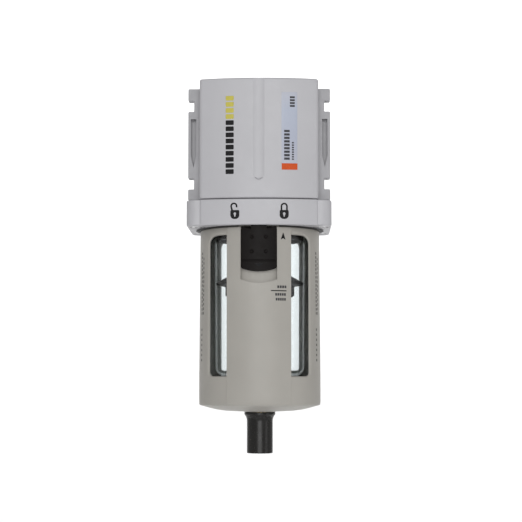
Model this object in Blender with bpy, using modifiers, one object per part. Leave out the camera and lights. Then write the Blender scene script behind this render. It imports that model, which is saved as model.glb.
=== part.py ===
"""Compressed air filter for a 1/4 inch line: die-cast housing, bayonet ring, filter insert,
clear bowl in a slotted guard, lock button with its spring, and a twist drain.

Sizes are in millimetres and are turned into metres by the shape functions. The origin is where
the axis of the two ports crosses the axis of the bowl. X runs from the inlet (-X) to the
outlet (+X), Y runs from the front (-Y) to the back, and Z is up.
"""

import math

import bmesh
import bpy
from mathutils import Matrix, Vector

MM = 0.001
GAP = 0.3  # left between pieces that touch
WIDE_STEPS = 40  # facets round the bowl, the guard and what is in them
FINE_STEPS = 20  # facets round a port or a drain piece
SCREW_STEPS = 12  # facets round a screw and its holes

# Housing
FACE_TO_FACE = 53.0  # between the two port faces
HOUSING_TOP = 23.9
HOUSING_BOTTOM = -20.8
HOUSING_HALF_WIDTH = 22.0
HOUSING_CROWN = 24.5  # how far the bowed front stands from the bowl's axis
BOW_RADIUS = 80.0
FLANGE_HALF_DEPTH = 15.6
FLANGE_TOP = 21.2
FLANGE_BOTTOM = -20.7
CLAMP_GROOVE_Z = 14.6
CLAMP_GROOVE_HEIGHT = 3.95
CLAMP_GROOVE_DEPTH = 2.2
FRONT_BAR_BACK = 11.0  # the clamped front bar runs from here to FLANGE_HALF_DEPTH
PORT_DISC_RADIUS = 10.6
REAR_BLOCK_HALF_HEIGHT = 8.0
PORT_MINOR_RADIUS = 5.7
PORT_MAJOR_RADIUS = 6.5
THREAD_PITCH = 1.41
THREAD_TURNS = 5
NECK_BORE_RADIUS = 20.9
NECK_BORE_TOP = -12.2
CHAMBER_TOP = -8.0
CENTRE_TUBE_RADIUS = 10.5
CENTRE_BORE_RADIUS = 7.0

# Bayonet ring
RING_TOP = HOUSING_BOTTOM - GAP
RING_BOTTOM = -30.7
RING_HALF_WIDTH = 26.9
RING_HALF_DEPTH = 21.5
RING_CROWN = 25.0
LIP_BORE_RADIUS = 22.5
LUG_GROOVE_RADIUS = 24.0
LUG_GROOVE_TOP = -23.6
LUG_GROOVE_BOTTOM = -27.6
TURN_TO_OPEN = 45.0  # degrees, clockwise from above
LUG_ANGLES = (90.0, 180.0, 270.0)
LUG_HALF_ANGLE = 13.0
TAB_HALF_ANGLE = 7.0
SCREW_X = 22.9
SCREW_Y = 13.3

# Bowl and guard
BOWL_NECK_TOP = -12.8
BOWL_OUTER_TOP = 20.0
BOWL_GROOVE_RADIUS = 18.4
BOWL_OUTER_LOW = 19.4
BOWL_INNER_TOP = 17.3
BOWL_INNER_LOW = 16.9
BOWL_WALL_END = -82.6  # where the bottom starts to round
GUARD_TOP = -31.6
GUARD_EDGE = -96.9
GUARD_BASE = -99.3
GUARD_RADIUS_TOP = 22.6
GUARD_RADIUS_LOW = 23.0
GUARD_INNER = 20.4
GUARD_HOLE_RADIUS = 4.5
PANEL_HALF_WIDTH = 11.9
PANEL_PROUD = 0.25
WINDOW_OUTER_X = 18.3
WINDOW_TOP = -33.8
WINDOW_BOTTOM = -86.1
WINDOW_CORNER = 3.0
WINDOW_RIM = 1.1
POCKET_HALF_WIDTH = 6.68
BUTTON_BOTTOM = -47.7
BUTTON_TRAVEL = 4.0
POCKET_BOTTOM = BUTTON_BOTTOM - BUTTON_TRAVEL - 0.2
POCKET_FLOOR = 21.4

# Lock button
BUTTON_HALF_WIDTH = 6.45
BUTTON_TOP = RING_BOTTOM - GAP
BUTTON_FACE = 23.4
BUTTON_ARC = 17.0
SPRING_RADIUS = 0.8
SPRING_WIRE = 0.15
SPRING_PLACE = 21.55
SPRING_LOW = -46.8
SPRING_HIGH = -35.8
SPRING_TURNS = 7

# Filter insert
STUD_RADIUS = 2.0
DEFLECTOR_RADIUS = 16.6
DEFLECTOR_BOTTOM = -35.0
BLADES = 8
ELEMENT_TOP = -14.9
ELEMENT_BOTTOM = -46.5
BAFFLE_TOP = -47.9
BAFFLE_RADIUS = 16.7
BAFFLE_SKIRT = -56.0

# Drain
BUSH_RADIUS = 4.0
BUSH_BOTTOM = -103.5
KNOB_TOP = GUARD_BASE - GAP
KNOB_BOTTOM = -115.1
KNOB_RADIUS = 4.9
KNOB_FLARE = 5.9

PARTS = "compressed_air_filter"
FINISHES = {
    "die_cast": ((0.50, 0.50, 0.53), 0.45, 0.0),
    "guard_grey": ((0.39, 0.37, 0.34), 0.50, 0.0),
    "clear": ((0.85, 0.90, 0.92), 0.08, 0.0),
    "black_plastic": ((0.020, 0.018, 0.017), 0.42, 0.0),
    "rubber": ((0.015, 0.015, 0.015), 0.80, 0.0),
    "fibre": ((0.80, 0.79, 0.74), 0.90, 0.0),
    "steel": ((0.55, 0.55, 0.55), 0.28, 1.0),
    "brass": ((0.72, 0.55, 0.25), 0.30, 1.0),
}


def start_empty():
    for old in list(bpy.data.objects):
        bpy.data.objects.remove(old, do_unlink=True)
    for name in (PARTS, "cutters"):
        collection = bpy.data.collections.new(name)
        bpy.context.scene.collection.children.link(collection)


def add(name, mesh, helper=False):
    """A new object in the collection of the parts or of the cutters."""
    obj = bpy.data.objects.new(name, mesh)
    bpy.data.collections["cutters" if helper else PARTS].objects.link(obj)
    if helper:
        obj.hide_render = True
        obj.display_type = "WIRE"
    return obj


def finish(obj, key):
    """Gives the object its own material and smooth shading with crisp edges."""
    colour, roughness, metallic = FINISHES[key]
    material = bpy.data.materials.new(obj.name)
    material.use_nodes = True
    shader = material.node_tree.nodes["Principled BSDF"]
    shader.inputs["Base Color"].default_value = (*colour, 1.0)
    shader.inputs["Roughness"].default_value = roughness
    shader.inputs["Metallic"].default_value = metallic
    if key == "clear":
        shader.inputs["Transmission Weight"].default_value = 1.0
    obj.data.materials.append(material)
    if obj.type == "MESH":
        obj.data.shade_smooth()
        obj.data.set_sharp_from_angle(angle=math.radians(30))
    return obj


def turned(name, profile, steps=WIDE_STEPS, helper=False, open_ends=False):
    """A solid turned about Z from (radius, z) points that run down the outside.

    The profile closes on itself, or with open_ends it starts and stops on the axis.
    """
    mesh = bpy.data.meshes.new(name)
    shape = bmesh.new()
    points = [shape.verts.new((r * MM, 0, z * MM)) for r, z in profile]
    pairs = list(zip(points, points[1:]))
    if not open_ends:
        pairs.append((points[-1], points[0]))
    for pair in pairs:
        shape.edges.new(pair)
    shape.to_mesh(mesh)
    shape.free()
    obj = add(name, mesh, helper)
    screw = obj.modifiers.new("turn", "SCREW")
    screw.steps = steps
    screw.render_steps = steps
    screw.use_merge_vertices = True
    screw.merge_threshold = 0.00001
    screw.use_smooth_shade = True
    return obj


def extruded(name, outline, low, high, helper=False, along="Z"):
    """A flat outline of (x, y) points, or (x, z) points when along is Y, given thickness."""
    curve = bpy.data.curves.new(name, "CURVE")
    curve.dimensions = "2D"
    curve.fill_mode = "BOTH"
    curve.extrude = (high - low) / 2 * MM
    spline = curve.splines.new("POLY")
    spline.points.add(len(outline) - 1)
    for point, (x, y) in zip(spline.points, outline):
        point.co = (x * MM, y * MM, 0, 1)
    spline.use_cyclic_u = True
    drawn = add(name + "_outline", curve, helper=True)
    mesh = bpy.data.meshes.new_from_object(
        drawn.evaluated_get(bpy.context.evaluated_depsgraph_get())
    )
    bpy.data.objects.remove(drawn, do_unlink=True)
    mesh.transform(Matrix.Translation((0, 0, (high + low) / 2 * MM)))
    if along == "Y":
        mesh.transform(Matrix.Rotation(math.radians(90), 4, "X"))
    shape = bmesh.new()
    shape.from_mesh(mesh)
    bmesh.ops.remove_doubles(shape, verts=shape.verts, dist=0.000002)
    bmesh.ops.recalc_face_normals(shape, faces=shape.faces)
    shape.to_mesh(mesh)
    shape.free()
    mesh.name = name
    return add(name, mesh, helper)


def block(name, low, high, helper=False):
    """A box between two corners."""
    mesh = bpy.data.meshes.new(name)
    shape = bmesh.new()
    bmesh.ops.create_cube(shape, size=1)
    size = [(b - a) * MM for a, b in zip(low, high)]
    centre = [(a + b) / 2 * MM for a, b in zip(low, high)]
    bmesh.ops.scale(shape, vec=size, verts=shape.verts)
    bmesh.ops.translate(shape, vec=centre, verts=shape.verts)
    shape.to_mesh(mesh)
    shape.free()
    return add(name, mesh, helper)


def bevel(obj, width, segments=1, angle=60.0):
    modifier = obj.modifiers.new("bevel", "BEVEL")
    modifier.width = width * MM
    modifier.segments = segments
    modifier.limit_method = "ANGLE"
    modifier.angle_limit = math.radians(angle)
    return obj


def combine(obj, operation, *others):
    """Adds one Boolean modifier for each of the other objects."""
    for other in others:
        modifier = obj.modifiers.new(operation.lower(), "BOOLEAN")
        modifier.operation = operation
        modifier.object = other
        modifier.solver = "EXACT"
    return obj


def cut(obj, *others):
    return combine(obj, "DIFFERENCE", *others)


def join(obj, *others):
    return combine(obj, "UNION", *others)


def keep_inside(obj, *others):
    return combine(obj, "INTERSECT", *others)


def arc(centre, radius, start, end, steps):
    """Points on a circle from start to end degrees, both included."""
    return [
        (
            centre[0] + radius * math.cos(math.radians(start + (end - start) * i / steps)),
            centre[1] + radius * math.sin(math.radians(start + (end - start) * i / steps)),
        )
        for i in range(steps + 1)
    ]


def bowed_outline(half_width, crown, corner):
    """Flat sides and a front and a back bowed on BOW_RADIUS, with round corners."""
    rise = math.sqrt((BOW_RADIUS - corner) ** 2 - (half_width - corner) ** 2)
    corner_y = crown - BOW_RADIUS + rise
    lean = math.degrees(math.asin((half_width - corner) / (BOW_RADIUS - corner)))
    quarter = arc((half_width - corner, corner_y), corner, 0, 90 - lean, 3)
    back = arc((0, crown - BOW_RADIUS), BOW_RADIUS, 90 - lean, 90 + lean, 12)[1:-1]
    left = [(-x, y) for x, y in reversed(quarter)]
    half = quarter + back + left
    return half + [(-x, -y) for x, y in half]


def round_rectangle(half_x, half_y, corner, steps=4):
    outline = []
    for turn, (x, y) in enumerate(((1, 1), (-1, 1), (-1, -1), (1, -1))):
        centre = (x * (half_x - corner), y * (half_y - corner))
        outline += arc(centre, corner, 90 * turn, 90 * turn + 90, steps)
    return outline


def sector(name, inner, outer, middle, half_angle, low, high, helper=True):
    """Part of a ring. Angles run clockwise from the front, as seen from above."""
    steps = max(3, int(half_angle / 3))
    start, end = -90 - middle - half_angle, -90 - middle + half_angle
    outline = arc((0, 0), outer, start, end, steps)
    outline += arc((0, 0), inner, end, start, steps)
    return extruded(name, outline, low, high, helper)


def hexagon(across_flats):
    return arc((0, 0), across_flats / math.sqrt(3), 0, 300, 5)


def tube_profile(inner, outer, low, high):
    return [(outer, high), (outer, low), (inner, low), (inner, high)]


def torus_profile(radius, z, thickness, steps=10):
    """A round section, run clockwise so that its outside goes down."""
    return arc((radius, z), thickness, 90, -270 + 360 / steps, steps - 1)


def port_profile(depth):
    """The cutter of a threaded port, from outside the face inwards, turned about Z."""
    face = FACE_TO_FACE / 2
    points = [(0, face + 2), (PORT_MAJOR_RADIUS + 0.7, face + 2), (PORT_MAJOR_RADIUS + 0.7, face)]
    for turn in range(THREAD_TURNS):
        z = face - 0.9 - turn * THREAD_PITCH
        points += [(PORT_MINOR_RADIUS, z), (PORT_MAJOR_RADIUS, z - THREAD_PITCH / 2)]
    last = face - 0.9 - THREAD_TURNS * THREAD_PITCH
    return points + [(PORT_MINOR_RADIUS, last), (PORT_MINOR_RADIUS, face - depth), (0, face - depth)]


def make_port_cutter(name, side, depth):
    obj = turned(name, port_profile(depth), FINE_STEPS, helper=True, open_ends=True)
    obj.rotation_euler = (0, math.radians(90 * side), 0)
    return obj


def make_flange_relief(side):
    """Cuts the flange's face back behind its front bar, round the port's disc and a rear block."""
    half = FACE_TO_FACE / 2
    low, high = sorted((side * (half - CLAMP_GROOVE_DEPTH), side * (half + 1)))
    relief = block(
        f"flange_relief_{side}",
        (low, -FRONT_BAR_BACK, FLANGE_BOTTOM - 1),
        (high, FLANGE_HALF_DEPTH + 1, FLANGE_TOP + 1),
        helper=True,
    )
    top, bottom = half + 2, half - 4
    disc_section = [(0, top), (PORT_DISC_RADIUS, top), (PORT_DISC_RADIUS, bottom), (0, bottom)]
    disc = turned(f"port_disc_{side}", disc_section, WIDE_STEPS, helper=True, open_ends=True)
    disc.rotation_euler = (0, math.radians(90 * side), 0)
    low, high = sorted((side * (half - 4), side * (half + 2)))
    rear = block(
        f"rear_block_{side}",
        (low, 0, -REAR_BLOCK_HALF_HEIGHT),
        (high, FLANGE_HALF_DEPTH + 3, REAR_BLOCK_HALF_HEIGHT),
        helper=True,
    )
    cut(relief, disc, rear)
    return relief


def make_housing():
    """The die-cast body: bowed block, two port flanges, and the air passages."""
    body = extruded(
        "housing", bowed_outline(HOUSING_HALF_WIDTH, HOUSING_CROWN, 1.5), HOUSING_BOTTOM, HOUSING_TOP
    )
    bevel(body, 0.7)
    half = FACE_TO_FACE / 2
    flange = block(
        "port_flanges",
        (-half, -FLANGE_HALF_DEPTH, FLANGE_BOTTOM),
        (half, FLANGE_HALF_DEPTH, FLANGE_TOP),
        helper=True,
    )
    bevel(flange, 0.6)
    join(body, flange)

    bore_mouth = HOUSING_BOTTOM - 2
    cutters = [
        turned(
            "neck_bore",
            [
                (0, NECK_BORE_TOP),
                (NECK_BORE_RADIUS, NECK_BORE_TOP),
                (NECK_BORE_RADIUS, HOUSING_BOTTOM + 0.8),
                (NECK_BORE_RADIUS + 1.0, HOUSING_BOTTOM - 0.2),
                (NECK_BORE_RADIUS + 1.0, bore_mouth),
                (0, bore_mouth),
            ],
            WIDE_STEPS,
            helper=True,
            open_ends=True,
        ),
        turned(
            "swirl_chamber",
            tube_profile(CENTRE_TUBE_RADIUS, 17.2, NECK_BORE_TOP - 1, CHAMBER_TOP),
            WIDE_STEPS,
            helper=True,
        ),
        turned(
            "clean_air_bore",
            [(0, 3), (CENTRE_BORE_RADIUS, 3), (CENTRE_BORE_RADIUS, -14), (0, -14)],
            FINE_STEPS,
            helper=True,
            open_ends=True,
        ),
        turned(
            "stud_hole",
            [(0, 14.5), (STUD_RADIUS + GAP, 14.5), (STUD_RADIUS + GAP, 0), (0, 0)],
            FINE_STEPS,
            helper=True,
            open_ends=True,
        ),
        make_port_cutter("inlet_port", -1, 16.0),
        make_port_cutter("outlet_port", 1, half - 2.0),
    ]
    drop_section = [(0, 1), (5.0, 1), (5.0, -10), (0, -10)]
    drop = turned("inlet_drop", drop_section, FINE_STEPS, helper=True, open_ends=True)
    drop.location = (-14.8 * MM, 0, 0)
    cutters.append(drop)

    for side in (-1, 1):
        low, high = sorted((side * (half + 1), side * (half - CLAMP_GROOVE_DEPTH)))
        for level in (-1, 1):
            middle = level * CLAMP_GROOVE_Z
            cutters.append(
                block(
                    f"clamp_groove_{side}_{level}",
                    (low, -30, middle - CLAMP_GROOVE_HEIGHT / 2),
                    (high, 30, middle + CLAMP_GROOVE_HEIGHT / 2),
                    helper=True,
                )
            )
        cutters.append(make_flange_relief(side))
        seal_section = tube_profile(8.0, 9.6, half - 0.9, half + 2)
        seal = turned(f"face_seal_groove_{side}", seal_section, WIDE_STEPS, helper=True)
        seal.rotation_euler = (0, math.radians(90 * side), 0)
        cutters.append(seal)
        # A narrow pocket in the flange's front edge: flat on top, pointed at the bottom.
        outline = [(23.5, 9.8), (23.5, -4.0), (24.5, -8.3), (25.5, -4.0), (25.5, 9.8)]
        outline = [(side * x, z) for x, z in outline]
        near, far = -FLANGE_HALF_DEPTH - 1, -FLANGE_HALF_DEPTH + 1.8
        name = f"edge_pocket_{side}"
        cutters.append(extruded(name, outline, near, far, helper=True, along="Y"))

    flute_radius = 10.6
    flute_depth = 0.3
    for face in (-1, 1):
        flute = turned(
            f"flute_{face}",
            [
                (0, HOUSING_TOP + 1),
                (flute_radius, HOUSING_TOP + 1),
                (flute_radius, -11.7),
                (flute_radius - 0.4, -13.0),
                (0, -13.0),
            ],
            96,
            helper=True,
            open_ends=True,
        )
        flute.location = (0, face * (HOUSING_CROWN - flute_depth + flute_radius) * MM, 0)
        cutters.append(flute)
    top_recess = extruded(
        "top_recess", round_rectangle(17.5, 16.5, 4.0), HOUSING_TOP - 0.6, HOUSING_TOP + 2, helper=True
    )
    cutters.append(top_recess)
    for x in (-SCREW_X, SCREW_X):
        for y in (-SCREW_Y, SCREW_Y):
            hole = turned(
                f"thread_hole_{x:.0f}_{y:.0f}",
                [(0, -16.4), (1.55, -16.4), (1.55, -22), (0, -22)],
                SCREW_STEPS,
                helper=True,
                open_ends=True,
            )
            hole.location = (x * MM, y * MM, 0)
            cutters.append(hole)
    cut(body, *cutters)
    return finish(body, "die_cast")


def make_bayonet_ring():
    """The ring under the housing, with the groove that the guard's lugs turn in."""
    ring = extruded("bayonet_ring", bowed_outline(21.9, RING_CROWN, 1.2), RING_BOTTOM, RING_TOP)
    bevel(ring, 0.5)
    wings = extruded(
        "ring_wings",
        round_rectangle(RING_HALF_WIDTH, RING_HALF_DEPTH, 4.0),
        RING_BOTTOM + 0.05,
        RING_TOP - 0.05,
        helper=True,
    )
    bevel(wings, 0.5)
    join(ring, wings)
    bore = turned(
        "ring_bore",
        [
            (0, RING_TOP + 1),
            (LIP_BORE_RADIUS, RING_TOP + 1),
            (LIP_BORE_RADIUS, LUG_GROOVE_TOP),
            (LUG_GROOVE_RADIUS, LUG_GROOVE_TOP),
            (LUG_GROOVE_RADIUS, LUG_GROOVE_BOTTOM),
            (LIP_BORE_RADIUS, LUG_GROOVE_BOTTOM),
            (LIP_BORE_RADIUS, RING_BOTTOM - 1),
            (0, RING_BOTTOM - 1),
        ],
        WIDE_STEPS,
        helper=True,
        open_ends=True,
    )
    cutters = [bore]
    for angle in LUG_ANGLES:
        cutters.append(
            sector(
                f"lug_entry_{angle:.0f}",
                LIP_BORE_RADIUS - 2,
                LUG_GROOVE_RADIUS,
                angle + TURN_TO_OPEN,
                LUG_HALF_ANGLE + 3,
                RING_BOTTOM - 1,
                LUG_GROOVE_BOTTOM + 0.5,
            )
        )
    cutters.append(
        sector(
            "tab_relief",
            LIP_BORE_RADIUS - 2,
            LUG_GROOVE_RADIUS,
            TURN_TO_OPEN / 2,
            TURN_TO_OPEN / 2 + TAB_HALF_ANGLE + 2.5,
            RING_BOTTOM - 1,
            LUG_GROOVE_BOTTOM + 0.5,
        )
    )
    for x in (-SCREW_X, SCREW_X):
        for y in (-SCREW_Y, SCREW_Y):
            hole = turned(
                f"screw_seat_{x:.0f}_{y:.0f}",
                [
                    (0, RING_TOP + 1),
                    (1.85, RING_TOP + 1),
                    (1.85, RING_BOTTOM + 3.3),
                    (2.85, RING_BOTTOM + 3.3),
                    (2.85, RING_BOTTOM - 1),
                    (0, RING_BOTTOM - 1),
                ],
                SCREW_STEPS,
                helper=True,
                open_ends=True,
            )
            hole.location = (x * MM, y * MM, 0)
            cutters.append(hole)
    cut(ring, *cutters)
    return finish(ring, "die_cast")


def make_ring_screws():
    """Four socket screws, driven up through the ring into the housing."""
    for index, (x, y) in enumerate(((-1, -1), (1, -1), (1, 1), (-1, 1)), 1):
        screw = turned(
            f"ring_screw_{index}",
            [
                (0, -16.8),
                (1.25, -16.8),
                (1.25, RING_BOTTOM + 3.0),
                (2.4, RING_BOTTOM + 3.0),
                (2.4, RING_BOTTOM + 0.4),
                (2.1, RING_BOTTOM + 0.1),
                (0, RING_BOTTOM + 0.1),
            ],
            SCREW_STEPS,
            open_ends=True,
        )
        socket = extruded(
            f"ring_screw_socket_{index}", hexagon(2.5), RING_BOTTOM - 1, RING_BOTTOM + 1.6, helper=True
        )
        screw.location = (x * SCREW_X * MM, y * SCREW_Y * MM, 0)
        socket.location = screw.location
        cut(screw, socket)
        finish(screw, "steel")


def make_dust_seal():
    """A thin black lip seal between the ring and the guard, open at the lock button."""
    seal = turned(
        "dust_seal",
        [
            (22.9, RING_BOTTOM - 0.2),
            (24.3, RING_BOTTOM - 0.4),
            (22.9, RING_BOTTOM - 0.65),
            (22.3, RING_BOTTOM - 0.65),
            (22.3, RING_BOTTOM - 0.2),
        ],
        WIDE_STEPS,
    )
    opening = block("seal_opening", (-7.4, -30, -33), (7.4, -10, -29), helper=True)
    cut(seal, opening)
    return finish(seal, "rubber")


def guard_profile():
    """The guard's section: collar, shoulder, slightly tapered wall and dished base."""
    dish = [(22.9, -96.3), (22.5, -96.9), (21.0, -97.4), (18.5, -98.1), (16.0, -98.65)]
    dish += [(13.0, -99.05), (9.0, -99.25), (GUARD_HOLE_RADIUS, GUARD_BASE)]
    inside = [(GUARD_HOLE_RADIUS, -97.6), (9.0, -97.55), (13.0, -97.3), (17.0, -96.4)]
    inside += [(20.0, -94.8), (20.9, -92.5)]
    return (
        [(22.0, -23.8), (22.0, GUARD_TOP), (GUARD_RADIUS_TOP, GUARD_TOP - 0.05)]
        + [(GUARD_RADIUS_LOW, -86.0)]
        + dish
        + inside
        + [(GUARD_INNER, -34.0), (GUARD_INNER, -23.8)]
    )


def window_outline(side, rim=0.0):
    """One window's (x, z) outline, with round corners on the outer side."""
    inner, outer = PANEL_HALF_WIDTH - 0.05 + rim * 0.02, WINDOW_OUTER_X + rim
    top, bottom = WINDOW_TOP + rim, WINDOW_BOTTOM - rim * 0.4
    corner = WINDOW_CORNER + rim
    outline = [(inner, top)]
    outline += arc((outer - corner, top - corner), corner, 90, 0, 5)
    outline += arc((outer - 1.2, bottom + 1.2), 1.2, 0, -90, 3)
    outline += [(inner, bottom)]
    return [(side * x, z) for x, z in outline]


def button_outline(half_width, top, bottom):
    """Straight sides and top, and a lower edge bowed on BUTTON_ARC."""
    lean = math.degrees(math.asin(half_width / BUTTON_ARC))
    low = arc((0, bottom + BUTTON_ARC), BUTTON_ARC, -90 + lean, -90 - lean, 6)
    return [(-half_width, top), (half_width, top)] + low


def make_bowl_guard():
    """The grey guard: lugged collar, windows, raised front and back panels, button pocket."""
    guard = turned("bowl_guard", guard_profile(), WIDE_STEPS)
    panel_low = GUARD_EDGE + 1.1
    for face in (-1, 1):
        panel = turned(
            f"raised_panel_{face}",
            [
                (GUARD_RADIUS_TOP + PANEL_PROUD, GUARD_TOP - 0.1),
                (GUARD_RADIUS_LOW + PANEL_PROUD, -86.0),
                (GUARD_RADIUS_LOW + PANEL_PROUD, panel_low),
                (GUARD_INNER + 1, panel_low),
                (GUARD_INNER + 1, GUARD_TOP - 0.1),
            ],
            WIDE_STEPS,
            helper=True,
        )
        near, far = sorted((face * 5.0, face * 30.0))
        limits = block(
            f"panel_limits_{face}",
            (-PANEL_HALF_WIDTH, near, -110),
            (PANEL_HALF_WIDTH, far, -20),
            helper=True,
        )
        keep_inside(panel, limits)
        join(guard, panel)
    for angle in LUG_ANGLES:
        join(
            guard,
            sector(
                f"lug_{angle:.0f}",
                21.2,
                LUG_GROOVE_RADIUS - 0.4,
                angle,
                LUG_HALF_ANGLE,
                LUG_GROOVE_BOTTOM + GAP,
                LUG_GROOVE_TOP - 0.5,
            ),
        )
    for side in (-1, 1):
        cut(guard, extruded(f"window_{side}", window_outline(side), -40, 40, helper=True, along="Y"))
        rim = extruded(
            f"window_rim_{side}", window_outline(side, WINDOW_RIM), -40, 40, helper=True, along="Y"
        )
        keep_inside(
            rim, turned(f"rim_depth_{side}", tube_profile(22.35, 30, -95, -25), WIDE_STEPS, helper=True)
        )
        cut(guard, rim)
    pocket = extruded(
        "button_pocket",
        button_outline(POCKET_HALF_WIDTH, -20, POCKET_BOTTOM),
        5,
        40,
        helper=True,
        along="Y",
    )
    floor_section = tube_profile(POCKET_FLOOR, 34, -60, GUARD_TOP + 1.3)
    keep_inside(pocket, turned("pocket_floor", floor_section, WIDE_STEPS, helper=True))
    rails = block("rail_grooves", (-7.4, -30, -50.5), (7.4, -5, GUARD_TOP + 1), helper=True)
    keep_inside(rails, turned("rail_depth", tube_profile(21.45, 22.1, -60, -20), WIDE_STEPS, helper=True))
    slot = block("spring_slot", (-1.5, -30, -47.2), (1.5, -15, -33.2), helper=True)
    cut(guard, pocket, rails, slot)
    return finish(guard, "guard_grey")


def make_bowl():
    """The clear bowl: grooved neck, flange, tapered wall and round bottom with a drain hole."""
    outside = [(BOWL_OUTER_TOP, BOWL_NECK_TOP - 0.6), (BOWL_OUTER_TOP, -15.4)]
    outside += [(BOWL_GROOVE_RADIUS, -15.4), (BOWL_GROOVE_RADIUS, -18.2), (BOWL_OUTER_TOP, -18.2)]
    outside += [(BOWL_OUTER_TOP, -21.6), (21.9, -21.6), (21.9, -23.5), (BOWL_OUTER_TOP, -23.5)]
    outside += [(BOWL_OUTER_TOP, -34.0)]
    outer_round, inner_round = 7.0, 4.5
    outside += arc((BOWL_OUTER_LOW - outer_round, BOWL_WALL_END), outer_round, 0, -75, 4)
    outside += [(9.0, -91.6), (4.5, -91.8)]
    inside = [(4.5, -88.9), (9.0, -88.6)]
    inside += arc((BOWL_INNER_LOW - inner_round, BOWL_WALL_END), inner_round, -70, 0, 3)
    inside += [(BOWL_INNER_TOP, -33.0), (BOWL_INNER_TOP, BOWL_NECK_TOP)]
    profile = outside + inside + [(BOWL_OUTER_TOP - 0.6, BOWL_NECK_TOP)]
    return finish(turned("bowl", profile, WIDE_STEPS), "clear")


def make_seals():
    finish(turned("bowl_o_ring", torus_profile(19.6, -16.8, 0.95, 8), WIDE_STEPS), "rubber")
    finish(turned("element_gasket_upper", tube_profile(7.4, 10.2, -13.3, -12.5), WIDE_STEPS), "rubber")
    finish(turned("element_gasket_lower", tube_profile(7.4, 10.6, -47.6, -46.8), WIDE_STEPS), "rubber")
    finish(turned("drain_bush_seal", torus_profile(5.3, -88.15, 0.5, 6), FINE_STEPS), "rubber")
    finish(turned("drain_stem_seal", torus_profile(2.35, -98.25, 0.4, 6), FINE_STEPS), "rubber")


def make_deflector():
    """The black ring of slanted blades that starts the swirl, with its deep skirt."""
    deflector = turned(
        "swirl_deflector",
        tube_profile(DEFLECTOR_RADIUS - 1.3, DEFLECTOR_RADIUS, DEFLECTOR_BOTTOM, -13.6),
        WIDE_STEPS,
    )
    hub = turned(
        "deflector_hub",
        [(12.6, -13.5), (12.6, -20.0), (11.5, -20.0), (11.5, -14.6), (7.7, -14.6), (7.7, -13.5)],
        WIDE_STEPS,
        helper=True,
    )
    for index in range(BLADES):
        blade = block(f"blade_{index}", (12.1, -0.55, -3.4), (15.9, 0.55, 3.4), helper=True)
        blade.data.transform(Matrix.Rotation(math.radians(35), 4, "X"))
        blade.data.transform(Matrix.Translation((0, 0, -16.9 * MM)))
        blade.rotation_euler = (0, 0, math.radians(360 * index / BLADES))
        join(hub, blade)
    join(deflector, hub)
    return finish(deflector, "black_plastic")


def make_insert():
    """The filter element, the stud through it and the baffle that closes its lower end."""
    element = tube_profile(7.3, 11.0, ELEMENT_BOTTOM, ELEMENT_TOP)
    finish(turned("filter_element", element, WIDE_STEPS), "fibre")
    stud = turned(
        "element_stud",
        [(0, 13.8), (1.7, 13.8), (STUD_RADIUS, 13.4), (STUD_RADIUS, -53.5), (0, -53.5)],
        FINE_STEPS,
        open_ends=True,
    )
    join(stud, extruded("stud_head", hexagon(8.0), -55.4, -52.5, helper=True))
    finish(stud, "steel")
    baffle = turned(
        "baffle",
        [
            (11.6, BAFFLE_TOP),
            (BAFFLE_RADIUS - 0.3, -50.7),
            (BAFFLE_RADIUS, -51.1),
            (BAFFLE_RADIUS - 0.4, -51.6),
            (12.8, -52.0),
            (12.7, BAFFLE_SKIRT),
            (11.6, BAFFLE_SKIRT),
            (11.6, -52.2),
            (STUD_RADIUS + GAP, -52.2),
            (STUD_RADIUS + GAP, BAFFLE_TOP),
        ],
        WIDE_STEPS,
    )
    finish(baffle, "black_plastic")


def make_lock_button():
    """The black slide button: face, side rails, locking tab, and the rib its spring pushes on."""
    button = extruded(
        "lock_button",
        button_outline(BUTTON_HALF_WIDTH, BUTTON_TOP, BUTTON_BOTTOM),
        5,
        40,
        along="Y",
    )
    keep_inside(button, turned("button_shell", tube_profile(21.8, BUTTON_FACE, -60, -20), 96, helper=True))
    rails = block("button_rails", (-7.1, -30, -46.0), (7.1, -5, GUARD_TOP - 0.4), helper=True)
    rail_depth = tube_profile(21.7, 21.9, -60, -20)
    keep_inside(rails, turned("button_rail_depth", rail_depth, 96, helper=True))
    tab = sector("lock_tab", 22.6, 23.4, 0, TAB_HALF_ANGLE, -33.0, -28.4)
    rib = block("spring_rib", (-1.2, -22.3, -35.4), (1.2, -20.7, -33.9), helper=True)
    join(button, rails, tab, rib)
    channel = block("spring_channel", (-1.25, -22.75, -49.5), (1.25, -15, -35.3), helper=True)
    groove = block("finger_groove", (-9, -26, -43.9), (9, -BUTTON_FACE + 0.55, -43.5), helper=True)
    groove_depth = tube_profile(BUTTON_FACE - 0.3, 30, -60, -20)
    keep_inside(groove, turned("groove_depth", groove_depth, 96, helper=True))
    cut(button, channel, groove)
    for x in (-2.65, 2.65):
        for z in (-35.0, -40.4):
            mesh = bpy.data.meshes.new("dimple")
            shape = bmesh.new()
            bmesh.ops.create_uvsphere(shape, u_segments=10, v_segments=6, radius=0.75 * MM)
            shape.to_mesh(mesh)
            shape.free()
            dimple = add(f"dimple_{x}_{z}", mesh, helper=True)
            depth = math.sqrt(BUTTON_FACE**2 - x**2)
            dimple.location = Vector((x, -depth - 0.35, z)) * MM
            cut(button, dimple)
    return finish(button, "black_plastic")


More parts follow.
